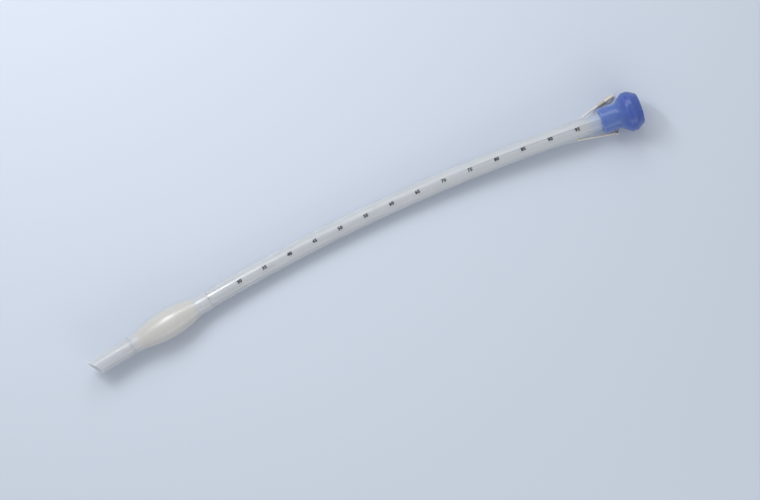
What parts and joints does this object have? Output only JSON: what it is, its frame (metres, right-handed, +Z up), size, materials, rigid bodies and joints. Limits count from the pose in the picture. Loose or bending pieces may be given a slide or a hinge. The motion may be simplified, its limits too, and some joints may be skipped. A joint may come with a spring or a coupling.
{
  "type": "endotracheal tube",
  "caption": "Long soft breathing tube with a bevelled tip, a spindle cuff, two thin side lines with end pieces and a flared connector.",
  "frame": {"origin": "on the floor under the middle of the tube's bounding box, measured without the two thin lines and their end pieces", "axes": "+X from the tip to the connector, +Y to the outside of the bend, +Z up"},
  "size_m": [1.0712, 0.0788, 0.0705],
  "materials": {
    "shaft_silicone": "satin milky translucent silicone",
    "cuff_silicone": "satin off-white silicone",
    "connector_blue": "translucent blue moulding",
    "line_silicone": "satin",
    "balloon_beige": "satin beige silicone",
    "valve_white": "smooth moulding",
    "stem_plastic": "smooth",
    "seal_rubber": "matt",
    "spring_steel": "bright wire",
    "plug_dark": "smooth"
  },
  "bodies": {
    "tube": {"tube_shaft": "shaft_silicone", "cuff": "cuff_silicone", "connector": "connector_blue", "inflation_line": "line_silicone", "pilot_balloon": "balloon_beige", "valve_tail": "valve_white", "valve_body": "valve_white", "valve_spring": "spring_steel", "auxiliary_line": "line_silicone", "line_hub": "valve_white", "hub_plug": "plug_dark"},
    "stem": {"valve_stem": "stem_plastic", "valve_seal": "seal_rubber"}
  },
  "joints": [
    {"name": "valve_push", "type": "slide", "parent": "tube", "child": "stem", "axis": [-0.9884, -0.1518, 0], "range_m": [0, 0.0012], "stiffness_N_per_m": 200, "springref_m": -0.0005, "deforming": ["valve_spring"]}
  ]
}
